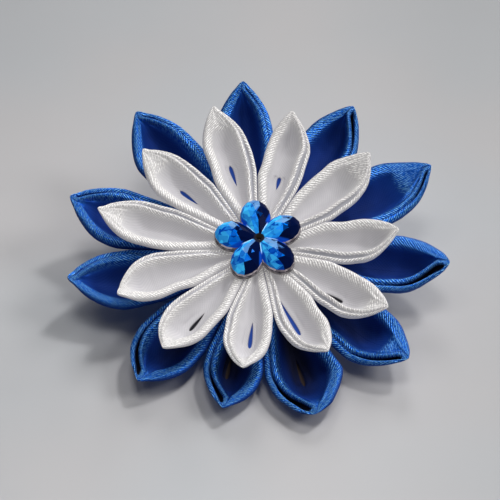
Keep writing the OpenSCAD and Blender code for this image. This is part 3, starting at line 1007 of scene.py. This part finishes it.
def paper(name):
    """Pale paper with painted light falloff: a little darker towards the back and the right."""
    n = Nodes(name)
    place = n.place()
    fibre = n.noise(place, 60.0, 4.0)
    warm = n.mix(fibre, (0.487, 0.48, 0.49, 1), (0.507, 0.5, 0.51, 1))
    cool = n.mix(fibre, (0.467, 0.48, 0.5, 1), (0.487, 0.5, 0.52, 1))
    tone = n.mix(n.ramp(n.noise(place, 18.0, 1.0), 0.35, 0.65), cool, warm)
    # Painted light falloff, by the paper's place in metres from the front to the back and from the
    # left
    axes = n.axes(place)
    painted_light_falloff = n.times(
        n.ramp(axes["Y"], -0.08, 0, 1.12, 1.02),
        n.ramp(axes["Y"], 0, 0.1, 1.0, 0.77),
        n.ramp(axes["X"], -0.07, -0.03, 0.955, 1.0),
        n.ramp(axes["X"], 0, 0.06, 1.0, 0.81),
    )
    tone = n.add("VectorMath", {0: tone, "Scale": painted_light_falloff}, operation="SCALE").outputs["Vector"]
    n.set(Base_Color=tone, Roughness=0.6)
    return n.material


blue_satin = satin(
    "blue_satin",
    pocket=(0.006, 0.0065, 0.018, 1),
    hollow=(0.006, 0.029, 0.2, 1),
    body=(0.005, 0.055, 0.36, 1),
    rim=(0.008, 0.135, 0.66, 1),
    painted_glint=(0.21, 0.58, 1, 1),
    slit_shade=(0.05, 0.035, 0.03, 1),
    under_glow=0.04,
    glow=0.0,
    rib_depth=0.14,
    rib_gap_shade=0.55,
    twill=0.03,
    roughness=0.36,
    metallic=0.75,
    specular=0.25,
)
white_satin = satin(
    "white_satin",
    pocket=(0.33, 0.33, 0.36, 1),
    hollow=(0.435, 0.425, 0.445, 1),
    body=(0.47, 0.46, 0.465, 1),
    rim=(0.5, 0.485, 0.48, 1),
    painted_glint=(1, 0.985, 0.96, 1),
    slit_shade=(0.004, 0.004, 0.008, 1),
    under_glow=0.0,
    glow=0.32,
    rib_depth=0.1,
    rib_gap_shade=0.4,
    twill=0.15,
    roughness=0.36,
    metallic=0.0,
    specular=0.6,
)


# A petal is a square of ribbon folded twice, which makes a triangle as long as the square's side
# and half as high
for ring, material in ((BLUE, blue_satin), (WHITE, white_satin)):
    for i, row in enumerate(ring["petals"]):
        node = "%s_petal_%02d" % (ring["name"], i + 1)
        piece = petal_mesh("satin_" + node, ring, i)
        piece.data.materials.append(material)
        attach(piece, "root")
        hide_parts(node)

for node, material in (
    ("hair_clip", steel("clip_steel")),
    ("gem_backing", foil("silver_foil")),
    ("gem_flower", acrylic("blue_gem")),
):
    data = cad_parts[node].data
    data.materials.clear()
    data.materials.append(material)


# Floor, lights and camera

def plane(name, size, material):
    mesh = bpy.data.meshes.new(name)
    h = size / 2
    mesh.from_pydata([(-h, -h, 0), (h, -h, 0), (h, h, 0), (-h, h, 0)], [], [(0, 1, 2, 3)])
    mesh.materials.append(material)
    return add_object(name, mesh)


plane("floor", 4.0, paper("floor_paper"))


def area_light(name, position, size, power):
    """A round light that shines on the hairpin."""
    light = bpy.data.lights.new(name, "AREA")
    light.shape = "DISK"
    light.size = size
    light.energy = power
    light.color = (1.0, 0.99, 0.98)
    lamp = add_object(name, light)
    lamp.location = position
    lamp.rotation_euler = (-Vector(position)).to_track_quat("-Z", "Y").to_euler()


# Soft lights one metre away. Columns: tilt from overhead and direction in degrees, size and power
LIGHTS = [
    ("key", 32, 42, 0.15, 3.0),
    ("overhead", 0, 0, 0.3, 2.2),
    ("key_left", 22, 180, 0.2, 0.5),
    ("window_right", 50, 0, 0.35, 3.1),
    ("window_corner", 50, 45, 0.35, 1.3),
    ("window_back", 50, 90, 0.35, 2.2),
    ("low_back", 70, 60, 0.35, 2.2),
    ("low_front", 68, 290, 0.4, 0.6),
]
for name, tilt, direction, size, power in LIGHTS:
    tilt, direction = math.radians(tilt), math.radians(direction)
    position = (
        math.sin(tilt) * math.cos(direction),
        math.sin(tilt) * math.sin(direction),
        math.cos(tilt),
    )
    area_light(name, position, size, power)

world = bpy.data.worlds.new("studio")
world.use_nodes = True
background = world.node_tree.nodes["Background"]
background.inputs["Color"].default_value = (0.65, 0.82, 1, 1)
background.inputs["Strength"].default_value = 0.02
bpy.context.scene.world = world
bpy.context.scene.view_settings.view_transform = "Standard"

# The camera looks at the gem's hole, which the photograph's 500 pixel frame shows here
HOLE_PIXEL = (259.1, 237.3)
FRAME_PIXELS = 500
LENS_PIXELS = 1566
SENSOR = 36
CAMERA_ELEVATION = math.radians(60.7) - LEAN
CAMERA_DISTANCE = 320
HOLE_Z = 9.2

hole = Vector(on_clip([0, 0, HOLE_Z]) * MM)
back = Vector((0, -math.cos(CAMERA_ELEVATION), math.sin(CAMERA_ELEVATION)))
camera_data = bpy.data.cameras.new("camera")
camera_data.sensor_width = SENSOR
camera_data.lens = LENS_PIXELS * SENSOR / FRAME_PIXELS
camera_data.shift_x = (FRAME_PIXELS / 2 - HOLE_PIXEL[0]) / FRAME_PIXELS
camera_data.shift_y = (HOLE_PIXEL[1] - FRAME_PIXELS / 2) / FRAME_PIXELS
camera_data.clip_start = 0.01
camera_data.clip_end = 20
camera = add_object("camera", camera_data)
camera.location = hole + back * CAMERA_DISTANCE * MM
camera.rotation_euler = (-back).to_track_quat("-Z", "Y").to_euler()
bpy.context.scene.camera = camera
